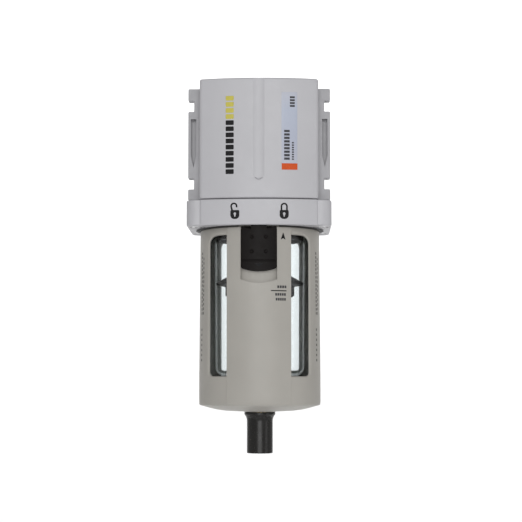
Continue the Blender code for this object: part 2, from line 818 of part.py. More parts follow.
def make_lock_spring():
    """A compression spring behind the button, standing on the lower end of the guard's slot."""
    curve = bpy.data.curves.new("lock_spring", "CURVE")
    curve.dimensions = "3D"
    curve.bevel_depth = SPRING_WIRE * MM
    curve.bevel_resolution = 2
    curve.use_fill_caps = True
    spline = curve.splines.new("POLY")
    count = SPRING_TURNS * 8
    spline.points.add(count)
    for index, point in enumerate(spline.points):
        share = index / count
        turn = 2 * math.pi * SPRING_TURNS * share
        point.co = (
            SPRING_RADIUS * math.cos(turn) * MM,
            (-SPRING_PLACE + SPRING_RADIUS * math.sin(turn)) * MM,
            (SPRING_LOW + (SPRING_HIGH - SPRING_LOW) * share) * MM,
            1,
        )
    return finish(add("lock_spring", curve), "steel")


def make_drain():
    """The bush clamped in the bowl, the valve stem in it, and the knob that moves the stem."""
    bush = turned(
        "drain_bush",
        [
            (6.4, -86.4),
            (6.4, -87.4),
            (BUSH_RADIUS, -87.6),
            (BUSH_RADIUS, BUSH_BOTTOM + 0.3),
            (BUSH_RADIUS - 0.3, BUSH_BOTTOM),
            (3.1, BUSH_BOTTOM),
            (3.1, -98.3),
            (2.4, -97.6),
            (2.4, -86.4),
        ],
        FINE_STEPS,
    )
    finish(bush, "brass")
    nut = extruded("drain_nut", hexagon(11.0), -94.9, -92.2)
    bevel(nut, 0.3)
    bore_section = [(0, -90), (4.3, -90), (4.3, -97), (0, -97)]
    cut(nut, turned("nut_bore", bore_section, FINE_STEPS, helper=True, open_ends=True))
    finish(nut, "brass")

    stem = turned(
        "drain_stem",
        [
            (0, -88.2),
            (1.0, -88.5),
            (1.1, -97.6),
            (1.75, -98.7),
            (2.75, -98.8),
            (2.75, -104.4),
            (3.8, -104.4),
            (3.8, -105.3),
            (0, -105.3),
        ],
        FINE_STEPS,
        open_ends=True,
    )
    for index in range(4):
        flute = turned(
            f"stem_flute_{index}",
            [(0, -99.6), (1.15, -99.6), (1.15, -107), (0, -107)],
            SCREW_STEPS,
            helper=True,
            open_ends=True,
        )
        angle = math.radians(90 * index + 45)
        flute.location = (2.75 * MM * math.cos(angle), 2.75 * MM * math.sin(angle), 0)
        cut(stem, flute)
    finish(stem, "brass")

    knob = turned(
        "drain_knob",
        [
            (KNOB_FLARE - 0.2, KNOB_TOP),
            (KNOB_FLARE, KNOB_TOP - 0.3),
            (KNOB_FLARE - 0.1, KNOB_TOP - 0.9),
            (KNOB_RADIUS + 0.35, KNOB_TOP - 2.1),
            (KNOB_RADIUS, KNOB_TOP - 3.2),
            (KNOB_RADIUS, KNOB_BOTTOM + 0.4),
            (KNOB_RADIUS - 0.4, KNOB_BOTTOM),
            (3.2, KNOB_BOTTOM),
            (3.2, -105.6),
            (4.3, -105.6),
            (4.3, KNOB_TOP),
        ],
        FINE_STEPS + 8,
    )
    finish(knob, "black_plastic")


def main():
    start_empty()
    make_housing()
    make_bayonet_ring()
    make_ring_screws()
    make_dust_seal()
    make_bowl_guard()
    make_bowl()
    make_seals()
    make_deflector()
    make_insert()
    make_lock_button()
    make_lock_spring()
    make_drain()


main()
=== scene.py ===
"""The looks of the compressed air filter: finer meshes, printed marks and materials.

Sizes are in millimetres and are turned into metres by the shape functions. The origin is where
the port axis crosses the bowl's axis, -Y is the front with the lock button, and +Z is up.
"""

import math
import random

import bmesh
import bpy
from mathutils import Matrix, Vector


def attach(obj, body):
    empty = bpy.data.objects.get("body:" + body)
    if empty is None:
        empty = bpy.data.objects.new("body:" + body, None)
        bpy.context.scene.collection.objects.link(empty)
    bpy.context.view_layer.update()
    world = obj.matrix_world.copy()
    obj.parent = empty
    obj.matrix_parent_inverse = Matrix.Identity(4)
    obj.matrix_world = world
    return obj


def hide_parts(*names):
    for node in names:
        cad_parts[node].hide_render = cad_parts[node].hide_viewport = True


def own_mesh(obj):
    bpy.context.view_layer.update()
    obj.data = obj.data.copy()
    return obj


MM = 0.001
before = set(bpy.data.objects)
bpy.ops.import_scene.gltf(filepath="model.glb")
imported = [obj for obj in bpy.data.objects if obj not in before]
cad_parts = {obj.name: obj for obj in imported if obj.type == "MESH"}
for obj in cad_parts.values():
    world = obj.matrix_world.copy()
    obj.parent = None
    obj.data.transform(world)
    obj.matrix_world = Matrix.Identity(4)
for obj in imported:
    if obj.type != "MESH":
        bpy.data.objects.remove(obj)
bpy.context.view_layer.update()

# Main levels and radii, as in the CAD model.
FACE_TO_FACE = 53.0
HOUSING_TOP = 23.9
HOUSING_BOTTOM = -20.8
HOUSING_HALF_WIDTH = 22.0
HOUSING_CROWN = 24.5
BOW_RADIUS = 80.0
FLANGE_HALF_DEPTH = 15.6
FRONT_BAR_BACK = 11.0
PORT_DISC_RADIUS = 10.6
REAR_BLOCK_HALF_HEIGHT = 8.0
RING_TOP = -21.1
RING_BOTTOM = -30.7
RING_CROWN = 25.0
LUG_GROOVE_RADIUS = 24.0
TURN_TO_OPEN = 45.0
LUG_ANGLES = (90.0, 180.0, 270.0)
LUG_HALF_ANGLE = 13.0
TAB_HALF_ANGLE = 7.0
SCREW_X = 22.9
SCREW_Y = 13.3
GUARD_TOP = -31.15
GUARD_SLOPE_END = -86.0
GUARD_RADIUS_TOP = 22.6
GUARD_RADIUS_LOW = 23.0
PANEL_HALF_WIDTH = 11.9
PANEL_PROUD = 0.25
WINDOW_OUTER_X = 18.3
WINDOW_TOP = -33.8
WINDOW_BOTTOM = -86.1
BUTTON_BOTTOM = -47.7
BUTTON_FACE = 23.4
BUTTON_ARC = 17.0
POCKET_BOTTOM = -51.9
POCKET_FLOOR = 21.4
KNOB_TOP = -99.6
KNOB_BOTTOM = -115.1


# ---------------------------------------------------------------- shape tools


def new_object(name, mesh):
    obj = bpy.data.objects.new(name, mesh)
    bpy.context.scene.collection.objects.link(obj)
    return obj


def skin(name, rows, wrap_rows=False, wrap_columns=True):
    """A closed surface over rows of (x, y, z) points of equal count, capped at loose ends."""
    mesh = bpy.data.meshes.new(name)
    shape = bmesh.new()
    grid = [[shape.verts.new(Vector(p) * MM) for p in row] for row in rows]
    count = len(grid[0])
    pairs = list(zip(grid, grid[1:]))
    if wrap_rows:
        pairs.append((grid[-1], grid[0]))
    for low, high in pairs:
        for j in range(count if wrap_columns else count - 1):
            k = (j + 1) % count
            shape.faces.new((low[j], low[k], high[k], high[j]))
    if not wrap_rows:
        for row in (grid[0], grid[-1]):
            shape.faces.new(row)
    bmesh.ops.remove_doubles(shape, verts=shape.verts, dist=0.0000005)
    bmesh.ops.dissolve_degenerate(shape, edges=shape.edges, dist=0.0000001)
    bmesh.ops.recalc_face_normals(shape, faces=shape.faces)
    shape.to_mesh(mesh)
    shape.free()
    return new_object(name, mesh)


def arc(centre, radius, start, end, steps):
    """Points on a circle from start to end degrees, both included."""
    return [
        (
            centre[0] + radius * math.cos(math.radians(start + (end - start) * i / steps)),
            centre[1] + radius * math.sin(math.radians(start + (end - start) * i / steps)),
        )
        for i in range(steps + 1)
    ]


def rounded(points, steps=4, closed=True):
    """Rounds each corner of (x, y, radius) points with an arc; a pair has a sharp corner."""
    out = []
    count = len(points)
    for i, point in enumerate(points):
        here = Vector(point[:2])
        radius = point[2] if len(point) > 2 else 0
        if radius == 0 or (not closed and i in (0, count - 1)):
            out.append(tuple(here))
            continue
        before = Vector(points[i - 1][:2]) - here
        after = Vector(points[(i + 1) % count][:2]) - here
        half = before.angle(after) / 2
        reach = min(radius / math.tan(half), 0.49 * before.length, 0.49 * after.length)
        radius = reach * math.tan(half)
        start, end = here + before.normalized() * reach, here + after.normalized() * reach
        middle = here + (before.normalized() + after.normalized()).normalized() * (
            radius / math.sin(half)
        )
        a, b = start - middle, end - middle
        turn = a.angle_signed(b)
        for k in range(steps + 1):
            out.append(tuple(middle + Matrix.Rotation(-turn * k / steps, 2) @ a))
    return out


def turned(name, profile, steps=128, closed=True, shape=None):
    """A solid turned about Z. Unclosed profiles start and end on the axis.

    shape(radius, z, angle) may change the radius at an angle in degrees.
    """
    if isinstance(steps, int):
        steps = [360 * i / steps for i in range(steps)]
    rows = []
    for radius, z in profile:
        row = []
        for angle in steps:
            r = shape(radius, z, angle) if shape else radius
            a = math.radians(angle)
            row.append((r * math.cos(a), r * math.sin(a), z))
        rows.append(row)
    if closed:
        return skin(name, rows, wrap_rows=True)
    return skin(name, rows)


def prism(name, outline, low, high, round_low=0.0, round_high=0.0, steps=4):
    """An outline(inset) given thickness along Z, with rounded rims."""
    levels = []
    for k in range(steps + 1 if round_low else 1):
        a = math.radians(90 * k / steps)
        levels.append((low + round_low * (1 - math.cos(a)), round_low * (1 - math.sin(a))))
    for k in range(steps + 1 if round_high else 1):
        a = math.radians(90 * k / steps)
        levels.append((high - round_high * (1 - math.sin(a)), round_high * (1 - math.cos(a))))
    return skin(name, [[(x, y, z) for x, y in outline(inset)] for z, inset in levels])


def slab(name, outline, near, far):
    """An (x, z) outline given thickness along Y."""
    return skin(name, [[(x, y, z) for x, z in outline] for y in (near, far)])


def block(name, low, high):
    outline = [(low[0], low[1]), (high[0], low[1]), (high[0], high[1]), (low[0], high[1])]
    return prism(name, lambda inset: outline, low[2], high[2])


def combine(obj, tool, operation):
    """One exact Boolean, applied at once. The tool is used up."""
    modifier = obj.modifiers.new("boolean", "BOOLEAN")
    modifier.operation = operation
    modifier.object = tool
    modifier.solver = "EXACT"
    graph = bpy.context.evaluated_depsgraph_get()
    mesh = bpy.data.meshes.new_from_object(obj.evaluated_get(graph))
    obj.modifiers.clear()
    old = obj.data
    obj.data = mesh
    bpy.data.meshes.remove(old)
    bpy.data.objects.remove(tool, do_unlink=True)
    return obj


def cut(obj, *tools):
    for tool in tools:
        combine(obj, tool, "DIFFERENCE")
    return obj


def join(obj, *tools):
    for tool in tools:
        combine(obj, tool, "UNION")
    return obj


def keep_inside(obj, *tools):
    for tool in tools:
        combine(obj, tool, "INTERSECT")
    return obj


def moved(obj, offset=(0, 0, 0), rotation=None):
    """Moves the mesh itself, after turning it."""
    if rotation:
        obj.data.transform(Matrix.Rotation(math.radians(rotation[0]), 4, rotation[1]))
    obj.data.transform(Matrix.Translation(Vector(offset) * MM))
    return obj


def finish(obj, material, body, replaces=(), sharp=32.0):
    """Material, smooth shading, the body it moves with and the CAD nodes that it stands for."""
    if obj.type == "MESH":
        obj.data.materials.clear()
        obj.data.materials.append(material)
        obj.data.shade_smooth()
        obj.data.set_sharp_from_angle(angle=math.radians(sharp))
        if not any(m.type == "WEIGHTED_NORMAL" for m in obj.modifiers):
            weighted = obj.modifiers.new("weighted", "WEIGHTED_NORMAL")
            weighted.keep_sharp = True
    else:
        obj.data.materials.append(material)
    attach(obj, body)
    if replaces:
        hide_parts(*replaces)
    return obj


# ---------------------------------------------------------------- materials


class Nodes:
    """A material under construction: the Principled shader and small helpers."""

    def __init__(self, name):
        self.material = bpy.data.materials.new(name)
        self.material.use_nodes = True
        self.tree = self.material.node_tree
        self.shader = self.tree.nodes["Principled BSDF"]
        self.place = self.tree.nodes.new("ShaderNodeTexCoord").outputs["Object"]

    def set(self, **values):
        for key, value in values.items():
            self.shader.inputs[key.replace("_", " ")].default_value = value
        return self

    def link(self, out, socket):
        self.tree.links.new(out, socket)

    def stretched(self, scale):
        node = self.tree.nodes.new("ShaderNodeMapping")
        node.inputs["Scale"].default_value = scale
        self.link(self.place, node.inputs["Vector"])
        return node.outputs["Vector"]

    def noise(self, scale, detail=2.0, rough=0.5, vector=None):
        node = self.tree.nodes.new("ShaderNodeTexNoise")
        node.inputs["Scale"].default_value = scale
        node.inputs["Detail"].default_value = detail
        node.inputs["Roughness"].default_value = rough
        self.link(vector or self.place, node.inputs["Vector"])
        return node.outputs["Fac"]

    def ramp(self, value, stops):
        """stops are (position, colour or grey)."""
        node = self.tree.nodes.new("ShaderNodeValToRGB")
        ramp = node.color_ramp
        while len(ramp.elements) < len(stops):
            ramp.elements.new(0.5)
        for element, (position, colour) in zip(ramp.elements, stops):
            element.position = position
            if isinstance(colour, float):
                colour = (colour, colour, colour)
            element.color = (*colour, 1.0)
        self.link(value, node.inputs["Fac"])
        return node.outputs["Color"]

    def math(self, kind, a, b):
        node = self.tree.nodes.new("ShaderNodeMath")
        node.operation = kind
        for socket, value in zip(node.inputs, (a, b)):
            if isinstance(value, (int, float)):
                socket.default_value = value
            else:
                self.link(value, socket)
        return node.outputs["Value"]

    def blend(self, share, first, second):
        node = self.tree.nodes.new("ShaderNodeMix")
        node.data_type = "RGBA"
        self.link(share, node.inputs[0])
        for socket, value in ((node.inputs[6], first), (node.inputs[7], second)):
            if isinstance(value, tuple):
                socket.default_value = (*value, 1.0)
            else:
                self.link(value, socket)
        return node.outputs[2]

    def bump(self, height, strength, distance, normal=None):
        node = self.tree.nodes.new("ShaderNodeBump")
        node.inputs["Strength"].default_value = strength
        node.inputs["Distance"].default_value = distance * MM
        self.link(height, node.inputs["Height"])
        if normal:
            self.link(normal, node.inputs["Normal"])
        return node.outputs["Normal"]

    def colour(self, out):
        self.link(out, self.shader.inputs["Base Color"])

    def roughness(self, out):
        self.link(out, self.shader.inputs["Roughness"])

    def normal(self, out):
        self.link(out, self.shader.inputs["Normal"])


def shade(colour, factor):
    return tuple(min(1.0, c * factor) for c in colour)


def moulded(name, colour, roughness, grain, grain_depth, vary=0.05, specular=0.5):
    """Moulded or painted surface: faint patches, fine grain, uneven gloss."""
    n = Nodes(name)
    n.set(Specular_IOR_Level=specular)
    patches = n.noise(90, 3)
    n.colour(n.ramp(patches, [(0.3, shade(colour, 1 - vary)), (0.7, shade(colour, 1 + vary))]))
    fine = n.noise(grain, 2, 0.6)
    n.roughness(n.ramp(n.noise(grain * 0.2, 3), [(0.3, roughness - 0.05), (0.7, roughness + 0.05)]))
    n.normal(n.bump(fine, 0.35, grain_depth))
    return n.material


def make_die_cast():
    """Painted die-cast alloy: orange peel under a satin coat, with painted shade on the flanges beside the
    body.
    """
    n = Nodes("painted_die_cast")
    colour = (0.500, 0.497, 0.520)
    patches = n.noise(60, 3)
    paint = n.ramp(patches, [(0.3, shade(colour, 0.975)), (0.7, shade(colour, 1.025))])
    # Painted shade: the housing's flanges, past the body's sides and above the ring, get a darker base
    # colour for the shade that the body's sides throw on them.
    split = n.tree.nodes.new("ShaderNodeSeparateXYZ")
    n.link(n.place, split.inputs["Vector"])
    out = n.math("MULTIPLY", n.math("ABSOLUTE", split.outputs["X"], 0.0), 1000.0)
    past_body = n.math("MULTIPLY", n.math("SUBTRACT", out, 21.9), 1.2)
    flange = n.ramp(past_body, [(0.0, 0.0), (0.5, 1.0)])
    height = n.math("MULTIPLY", n.math("ADD", split.outputs["Z"], 0.021), 20000.0)
    above = n.ramp(height, [(0.0, 0.0), (0.4, 1.0)])
    flange_painted_shade = n.math("MULTIPLY", flange, above)
    n.colour(n.blend(flange_painted_shade, paint, shade(colour, 0.74)))
    n.roughness(n.ramp(n.noise(400, 2), [(0.3, 0.38), (0.7, 0.47)]))
    peel = n.bump(n.noise(900, 2, 0.5), 0.25, 0.02)
    n.normal(n.bump(n.noise(5000, 1, 0.5), 0.15, 0.006, peel))
    n.set(Specular_IOR_Level=0.5)
    return n.material


def make_clear():
    """Clear polycarbonate that lets light reach what is inside it."""
    n = Nodes("clear_polycarbonate")
    n.set(
        Base_Color=(0.93, 0.965, 0.97, 1.0),
        Transmission_Weight=1.0,
        IOR=1.585,
        Specular_IOR_Level=0.5,
    )
    n.roughness(n.ramp(n.noise(300, 3), [(0.35, 0.0), (0.75, 0.045)]))
    flow = n.noise(70, 2, 0.5, n.stretched((1, 1, 0.35)))
    n.normal(n.bump(flow, 0.2, 0.12))
    out = n.tree.nodes["Material Output"]
    path = n.tree.nodes.new("ShaderNodeLightPath")
    through = n.tree.nodes.new("ShaderNodeBsdfTransparent")
    through.inputs["Color"].default_value = (0.86, 0.89, 0.9, 1.0)
    mix = n.tree.nodes.new("ShaderNodeMixShader")
    n.link(path.outputs["Is Shadow Ray"], mix.inputs["Fac"])
    n.link(n.shader.outputs["BSDF"], mix.inputs[1])
    n.link(through.outputs["BSDF"], mix.inputs[2])
    n.link(mix.outputs["Shader"], out.inputs["Surface"])
    return n.material


def make_fibre():
    """Bonded white fibre: tangled strands and small pits."""
    n = Nodes("filter_fibre")
    strands = n.noise(1400, 6, 0.7, n.stretched((1, 1, 0.45)))
    shades = [(0.25, (0.52, 0.50, 0.45)), (0.55, (0.80, 0.79, 0.74)), (0.8, (0.9, 0.9, 0.87))]
    n.colour(n.ramp(strands, shades))
    n.normal(n.bump(strands, 0.9, 0.25))
    n.set(Roughness=0.95, Specular_IOR_Level=0.2)
    return n.material


def make_metal(name, colour, roughness, along):
    """Machined or plated metal with fine lines along one direction."""
    n = Nodes(name)
    scale = {"turned": (1, 1, 30), "drawn": (30, 30, 1)}[along]
    lines = n.noise(180, 3, 0.6, n.stretched(scale))
    n.colour(n.ramp(lines, [(0.3, shade(colour, 0.86)), (0.7, shade(colour, 1.08))]))
    n.roughness(n.ramp(lines, [(0.3, roughness - 0.06), (0.7, roughness + 0.1)]))
    n.normal(n.bump(lines, 0.15, 0.01))
    n.set(Metallic=1.0)
    return n.material


def make_ink(name, colour):
    """Printed ink with slightly broken cover."""
    n = Nodes(name)
    n.colour(n.ramp(n.noise(2600, 3, 0.7), [(0.2, shade(colour, 1.25)), (0.5, colour)]))
    n.roughness(n.ramp(n.noise(1500, 2), [(0.3, 0.45), (0.7, 0.6)]))
    n.set(Specular_IOR_Level=0.2)
    n.normal(n.bump(n.noise(4000, 2), 0.1, 0.003))
    return n.material


def make_label():
    """Satin silver-blue foil, cooler in the middle of its length."""
    n = Nodes("label_foil")
    split = n.tree.nodes.new("ShaderNodeSeparateXYZ")
    n.link(n.place, split.inputs["Vector"])
    height = n.math("MULTIPLY_ADD", split.outputs["Z"], 28.0)
    height.node.inputs[2].default_value = 0.42
    n.colour(
        n.ramp(
            height,
            [
                (0.0, (0.47, 0.47, 0.52)),
                (0.45, (0.41, 0.44, 0.54)),
                (0.75, (0.42, 0.46, 0.56)),
                (1.0, (0.47, 0.48, 0.54)),
            ],
        )
    )
    n.roughness(n.ramp(n.noise(900, 2), [(0.3, 0.30), (0.7, 0.38)]))
    n.normal(n.bump(n.noise(3500, 1), 0.08, 0.004))
    return n.material


def make_stage_paint():
    n = Nodes("pale_floor")
    n.colour(n.ramp(n.noise(3, 2), [(0.3, (0.90, 0.90, 0.90)), (0.7, (0.93, 0.93, 0.93))]))
    n.set(Roughness=0.9)
    return n.material


DIE_CAST = make_die_cast()
GUARD_GREY = moulded("guard_plastic", (0.405, 0.388, 0.355), 0.48, 2600, 0.012, 0.03)
CLEAR = make_clear()
BLACK = moulded("black_plastic", (0.0085, 0.007, 0.0065), 0.46, 2200, 0.012, 0.12, specular=0.1)
KNOB_BLACK = moulded("black_drain_plastic", (0.011, 0.010, 0.009), 0.28, 1800, 0.010, 0.12, 0.4)
RUBBER = moulded("nitrile_rubber", (0.016, 0.016, 0.017), 0.62, 1500, 0.02, 0.15)
FIBRE = make_fibre()
STEEL = make_metal("plated_steel", (0.60, 0.60, 0.61), 0.28, "turned")
BRASS = make_metal("turned_brass", (0.78, 0.60, 0.28), 0.25, "turned")
BLACK_INK = make_ink("black_ink", (0.005, 0.005, 0.006))
GREY_INK = make_ink("grey_ink", (0.055, 0.055, 0.06))
FAINT_INK = make_ink("faint_ink", (0.11, 0.105, 0.10))
YELLOW_INK = make_ink("yellow_ink", (0.56, 0.50, 0.10))
ORANGE_INK = make_ink("orange_ink", (0.62, 0.085, 0.016))
LABEL = make_label()


# ---------------------------------------------------------------- housing


def bowed_outline(half_width, crown, corner, inset=0.0):
    """Flat sides and a front and back bowed on BOW_RADIUS, with round corners."""
    half_width, crown = half_width - inset, crown - inset
    bow, corner = BOW_RADIUS - inset, max(corner - inset, 0.3)
    rise = math.sqrt((bow - corner) ** 2 - (half_width - corner) ** 2)
    corner_y = crown - bow + rise
    lean = math.degrees(math.asin((half_width - corner) / (bow - corner)))
    quarter = arc((half_width - corner, corner_y), corner, 0, 90 - lean, 6)
    back = arc((0, crown - bow), bow, 90 - lean, 90 + lean, 40)[1:-1]
    left = [(-x, y) for x, y in reversed(quarter)]
    half = quarter + back + left
    return half + [(-x, -y) for x, y in half]


def round_rectangle(half_x, half_y, corner, inset=0.0, steps=8):
    half_x, half_y, corner = half_x - inset, half_y - inset, max(corner - inset, 0.1)
    outline = []
    for turn, (x, y) in enumerate(((1, 1), (-1, 1), (-1, -1), (1, -1))):
        centre = (x * (half_x - corner), y * (half_y - corner))
        outline += arc(centre, corner, 90 * turn, 90 * turn + 90, steps)
    return outline


def sector(name, inner, outer, middle, half_angle, low, high, steps=16):
    """Part of a ring. Angles run clockwise from the front, as seen from above."""
    start, end = -90 - middle - half_angle, -90 - middle + half_angle
    outline = arc((0, 0), outer, start, end, steps) + arc((0, 0), inner, end, start, steps)
    return prism(name, lambda inset: outline, low, high)


def thread_cutter(name, side, depth):
    """The space of a tapped port: mouth chamfer, helical thread and plain bore, along X."""
    face = FACE_TO_FACE / 2
    minor, tooth, pitch, turns = 5.7, 0.8, 1.41, 6
    levels = [face + 2, face, face - 0.9]
    last = face - 0.9 - turns * pitch
    levels += [face - 0.9 - pitch * k / 8 for k in range(1, turns * 8)]
    levels += [last, face - depth]

    def radius_at(radius, z, angle):
        if z >= face:
            return minor + 1.5
        if z > face - 1.0 or z <= last:
            return minor + (0.9 if z > last else 0.0)
        phase = ((face - z) / pitch + angle / 360) % 1.0
        fade = min(1.0, (z - last) / pitch)
        return minor + tooth * fade * (1 - abs(2 * phase - 1))

    profile = [(0, levels[0])] + [(minor, z) for z in levels] + [(0, levels[-1])]

    def shape(radius, z, angle):
        return 0 if radius == 0 else radius_at(radius, z, angle)

    return moved(turned(name, profile, 72, closed=False, shape=shape), rotation=(90 * side, "Y"))


def soften_rims(obj, offset=0.35):
    """Rounds the edges at the two faces of a slab."""
    shape = bmesh.new()
    shape.from_mesh(obj.data)
    rims = [e for e in shape.edges if abs(e.verts[0].co.y - e.verts[1].co.y) < 0.001]
    bmesh.ops.bevel(shape, geom=rims, offset=offset * MM, segments=3, profile=0.5, affect="EDGES")
    shape.to_mesh(obj.data)
    shape.free()
    return obj


def both_sides(points):
    return points + [(-x, z, corner) for x, z, corner in reversed(points)]


def make_flanges():
    """Both port flanges: a notched bar in front, the port's disc, and a block behind it."""
    half, level, rise, depth = FACE_TO_FACE / 2, 14.6, 1.975, 2.2
    side = [(half, -20.7, 0.5)]
    for z in (-level, level):
        side += [(half, z - rise, 0.45), (half - depth, z - rise, 0.25)]
        side += [(half - depth, z + rise, 0.25), (half, z + rise, 0.45)]
    side += [(half, 21.2, 0.5)]
    flanges = slab("flanges", rounded(both_sides(side), 3), -FLANGE_HALF_DEPTH, -FRONT_BAR_BACK)
    soften_rims(flanges)
    web_x, web_y = half - depth - 0.02, FLANGE_HALF_DEPTH - 0.11
    web = both_sides([(web_x, -20.6, 0.8), (web_x, 21.1, 0.8)])
    join(flanges, soften_rims(slab("flange_web", rounded(web, 3), -web_y, web_y)))
    rear_x, rear_z = half - 0.03, REAR_BLOCK_HALF_HEIGHT
    rear = both_sides([(rear_x, -rear_z, 0.8), (rear_x, rear_z, 0.8)])
    join(flanges, soften_rims(slab("rear_block", rounded(rear, 3), 0.13, FLANGE_HALF_DEPTH)))
    disc = [(PORT_DISC_RADIUS - 0.3, half), (PORT_DISC_RADIUS, half - 0.3), (PORT_DISC_RADIUS, 20)]
    disc = [(0, half)] + disc + [(0, 20)]
    for turn in (-90, 90):
        join(flanges, moved(turned("port_disc", disc, 128, closed=False), rotation=(turn, "Y")))
    return flanges


def make_housing():
    housing = prism(
        "housing_casting",
        lambda inset: bowed_outline(HOUSING_HALF_WIDTH, HOUSING_CROWN, 1.5, inset),
        HOUSING_BOTTOM,
        HOUSING_TOP,
        0.55,
        0.8,
    )
    join(housing, make_flanges())
    half = FACE_TO_FACE / 2
    cut(
        housing,
        turned(
            "neck_bore",
            [(0, -12.2), (20.9, -12.2), (20.9, -20.0), (21.9, -21.0), (21.9, -22.8), (0, -22.8)],
            128,
            closed=False,
        ),
        turned("swirl_chamber", [(17.2, -8), (17.2, -13), (10.5, -13), (10.5, -8)], 96),
        turned("clean_bore", [(0, 3), (7, 3), (7, -14), (0, -14)], 64, closed=False),
        turned("stud_hole", [(0, 14.5), (2.3, 14.5), (2.3, 0), (0, 0)], 32, closed=False),
        thread_cutter("inlet_thread", -1, 16.0),
        thread_cutter("outlet_thread", 1, half - 2.0),
        moved(turned("inlet_drop", [(0, 1), (5, 1), (5, -10), (0, -10)], 48, closed=False), (-14.8, 0, 0)),
    )
    for side in (-1, 1):
        groove = [(9.6, half + 2), (9.6, half - 0.9, 0.2), (8.0, half - 0.9, 0.2), (8.0, half + 2)]
        groove = rounded(groove)
        cut(housing, moved(turned("seal_groove", groove, 128), rotation=(90 * side, "Y")))
        outline = [(23.5, 9.8), (23.5, -4.0), (24.5, -8.3), (25.5, -4.0), (25.5, 9.8)]
        outline = [(side * x, z) for x, z in outline]
        near, far = -FLANGE_HALF_DEPTH - 1, -FLANGE_HALF_DEPTH + 2.6
        cut(housing, slab("edge_pocket", outline, near, far))
    flute_radius, flute_depth = 8.0, 0.32
    flute = [(0, 25), (flute_radius, 25), (flute_radius, -12.8), (flute_radius - 0.4, -14.1), (0, -14.1)]
    for face in (-1, 1):
        y = face * (HOUSING_CROWN - flute_depth + flute_radius)
        cut(housing, moved(turned("flute", flute, 192, closed=False), (0, y, 0)))
        notch = [(-1.45, -13.15), (0, -13.85), (1.45, -13.15), (1.35, -13.55), (0, -14.4)]
        notch.append((-1.35, -13.55))
        near, far = sorted((face * (HOUSING_CROWN + 1), face * (HOUSING_CROWN - 0.55)))
        cut(housing, slab("flute_end", notch, near, far))
    cut(housing, prism("top_recess", lambda i: round_rectangle(17.5, 16.5, 4.0, i), 23.3, 26))
    for x in (-SCREW_X, SCREW_X):
        for y in (-SCREW_Y, SCREW_Y):
            hole = turned("hole", [(0, -16.4), (1.5, -16.4), (1.5, -22), (0, -22)], 24, closed=False)
            cut(housing, moved(hole, (x, y, 0)))
    return finish(housing, DIE_CAST, "filter_head", ["housing"])


def make_ring():
    ring = prism(
        "bayonet_ring_casting",
        lambda inset: bowed_outline(21.9, RING_CROWN, 1.2, inset),
        RING_BOTTOM,
        RING_TOP,
        0.45,
        0.45,
    )
    wings = prism(
        "wings",
        lambda inset: round_rectangle(26.9, 21.5, 4.0, inset),
        RING_BOTTOM + 0.04,
        RING_TOP - 0.04,
        0.5,
        0.5,
    )
    join(ring, wings)
    lip, groove = 22.5, LUG_GROOVE_RADIUS
    bore = [(0, -20), (lip, -20), (lip, -23.6), (groove, -23.6), (groove, -27.6), (lip, -27.6)]
    bore += [(lip, -30.3), (lip + 0.5, -30.8), (lip + 0.5, -32), (0, -32)]
    cut(ring, turned("ring_bore", bore, 144, closed=False))
    for angle in LUG_ANGLES:
        half = LUG_HALF_ANGLE + 3
        cut(ring, sector("lug_entry", lip - 2, groove, angle + TURN_TO_OPEN, half, -32, -27.1))
    half = TURN_TO_OPEN / 2 + TAB_HALF_ANGLE + 2.5
    cut(ring, sector("tab_relief", lip - 2, groove, TURN_TO_OPEN / 2, half, -32, -27.1, 40))
    seat = [(0, -20), (1.85, -20), (1.85, -27.4), (2.85, -27.4), (2.85, -30.4), (3.1, -30.75)]
    seat += [(3.1, -32), (0, -32)]
    for x in (-SCREW_X, SCREW_X):
        for y in (-SCREW_Y, SCREW_Y):
            cut(ring, moved(turned("seat", seat, 40, closed=False), (x, y, 0)))
    return finish(ring, DIE_CAST, "filter_head", ["bayonet_ring"])


def hexagon(across_flats, inset=0.0):
    return arc((0, 0), (across_flats - 2 * inset) / math.sqrt(3), 0, 300, 5)


def make_screws():
    for index, (x, y) in enumerate(((-1, -1), (1, -1), (1, 1), (-1, 1)), 1):
        profile = rounded(
            [
                (0, -16.8),
                (1.25, -16.8, 0.3),
                (1.25, -27.7),
                (2.4, -27.7, 0.15),
                (2.4, -30.6, 0.35),
                (0, -30.6),
            ],
            closed=False,
        )
        screw = turned(f"socket_screw_{index}", profile, 40, closed=False)
        cut(screw, prism("socket", lambda i: hexagon(2.5), -32, -29.1))
        moved(screw, (x * SCREW_X, y * SCREW_Y, 0))
        finish(screw, STEEL, "filter_head", [f"ring_screw_{index}"])


def make_dust_seal():
    profile = [(22.9, -30.78), (23.6, -30.8), (24.25, -30.89), (24.3, -30.92), (24.25, -30.95)]
    profile += [(23.2, -31.06), (22.3, -31.08), (22.3, -30.78)]
    seal = turned("dust_lip_seal", profile, 160)
    cut(seal, block("opening", (-7.4, -30, -33), (7.4, -10, -29)))
    return finish(seal, RUBBER, "bowl_assembly", ["dust_seal"])


# ---------------------------------------------------------------- guard and bowl


def guard_base(z):
    """Outer radius of the guard's wall, without the raised panels."""
    share = min(1.0, max(0.0, (GUARD_TOP - z) / (GUARD_TOP - GUARD_SLOPE_END)))
    return GUARD_RADIUS_TOP + (GUARD_RADIUS_LOW - GUARD_RADIUS_TOP) * share


def smooth_step(value, low, high):
    share = min(1.0, max(0.0, (value - low) / (high - low)))
    return share * share * (3 - 2 * share)


def guard_shape(radius, z, angle):
    """Raises the front and back panels out of the wall."""
    if radius < 22.45 or z > GUARD_TOP - 0.05:
        return radius
    across = abs(radius * math.cos(math.radians(angle)))
    edge = 1 - smooth_step(across, PANEL_HALF_WIDTH - 0.12, PANEL_HALF_WIDTH + 0.12)
    ends = 1 - smooth_step(-z, 95.7, 96.3)
    return radius + PANEL_PROUD * edge * ends


